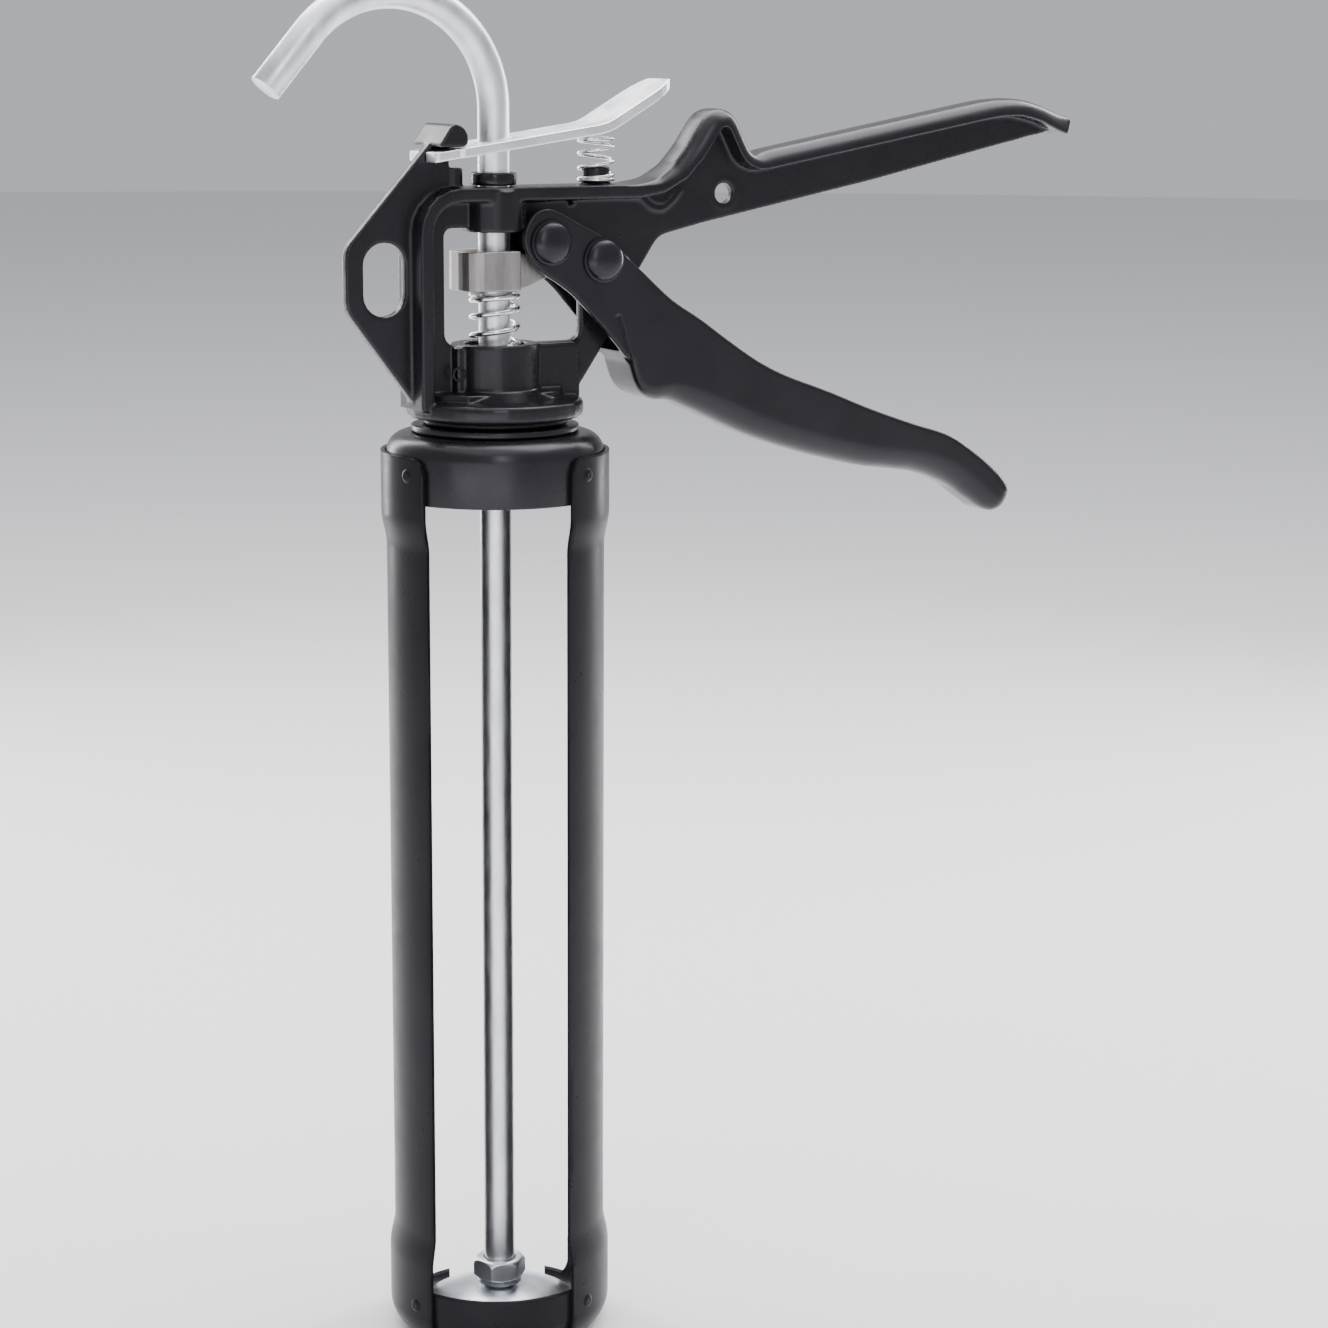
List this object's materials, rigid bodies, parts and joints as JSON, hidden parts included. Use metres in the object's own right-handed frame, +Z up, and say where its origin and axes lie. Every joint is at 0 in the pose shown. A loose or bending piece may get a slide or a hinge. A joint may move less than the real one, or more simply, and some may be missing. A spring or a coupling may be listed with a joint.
{
  "type": "caulking gun",
  "caption": "Skeleton caulking gun with a cast handle, hooked push rod, sprung trigger drive, thumb release and a swivelling strap cradle.",
  "frame": {"origin": "centre of the push rod's lower end face, on the barrel's axis, in the plane of the nose cap's outer face, with the rod pushed fully forward", "axes": "+Z up along the rod from the nose to the hook, +X towards the grip and trigger, +Y to the left of the tool when it points away from the user with its grip down"},
  "size_m": [0.2391, 0.0554, 0.35],
  "materials": {
    "black_paint": "satin black powder coat",
    "black_rail": "satin black paint on pressed steel",
    "black_trigger": "satin black paint on pressed steel",
    "black_gloss": "glossy black paint",
    "zinc_plate": "bright zinc plate",
    "bright_wire": "bright drawn spring wire",
    "bright_rod": "bright plated rod",
    "grey_steel": "plain ground steel",
    "spring_steel": "oiled spring steel"
  },
  "bodies": {
    "handle": {"handle_casting": "black_paint", "rod_guide_ring": "black_gloss", "swivel_washer": "black_paint", "thrust_washer": "zinc_plate", "retaining_ring": "spring_steel"},
    "barrel": {"barrel_collar": "black_paint", "left_rail": "black_rail", "right_rail": "black_rail", "nose_cap": "black_rail", "collar_rivet_1": "black_paint", "collar_rivet_2": "black_paint", "collar_rivet_3": "black_paint", "collar_rivet_4": "black_paint", "nose_rivet_1": "black_paint", "nose_rivet_2": "black_paint", "nose_rivet_3": "black_paint", "nose_rivet_4": "black_paint"},
    "trigger": {"trigger": "black_trigger", "trigger_pivot_pin": "black_paint", "drive_pin": "black_paint", "pivot_bush": "zinc_plate"},
    "drive": {"drive_plate": "grey_steel", "drive_spring": "bright_wire"},
    "release": {"release_lever": "zinc_plate", "release_spring": "bright_wire"},
    "plunger": {"plunger_disc": "zinc_plate", "plunger_nut": "zinc_plate", "spring_washer": "zinc_plate", "lower_nut": "zinc_plate"},
    "rod": {"push_rod": "bright_rod"}
  },
  "joints": [
    {"name": "barrel_swivel", "type": "hinge", "parent": "handle", "child": "barrel", "pos_m": [0, 0, 0.238], "axis": [0, 0, 1], "continuous": true},
    {"name": "trigger_pull", "type": "hinge", "parent": "handle", "child": "trigger", "pos_m": [0.0268, 0, 0.2805], "axis": [0, -1, 0], "range_deg": [0, 28], "stiffness_Nm_per_rad": 0.5, "springref_deg": -14.32},
    {"name": "drive_plate_slide", "type": "slide", "parent": "handle", "child": "drive", "axis": [0, 0, -1], "range_m": [0, 0.0076], "deforming": ["drive_spring"]},
    {"name": "release_press", "type": "hinge", "parent": "handle", "child": "release", "pos_m": [-0.0179, 0, 0.3083], "axis": [0, 1, 0], "range_deg": [0, 8], "stiffness_Nm_per_rad": 0.3, "springref_deg": -17.19, "deforming": ["release_spring"]},
    {"name": "plunger_slide", "type": "slide", "parent": "handle", "child": "plunger", "axis": [0, 0, 1], "range_m": [0, 0.21]},
    {"name": "rod_turn", "type": "hinge", "parent": "plunger", "child": "rod", "pos_m": [0, 0, 0.1], "axis": [0, 0, 1], "continuous": true}
  ],
  "couplings": [
    {"joint": "drive_plate_slide", "follows": "trigger_pull", "m_per_rad": 0.01532}
  ]
}
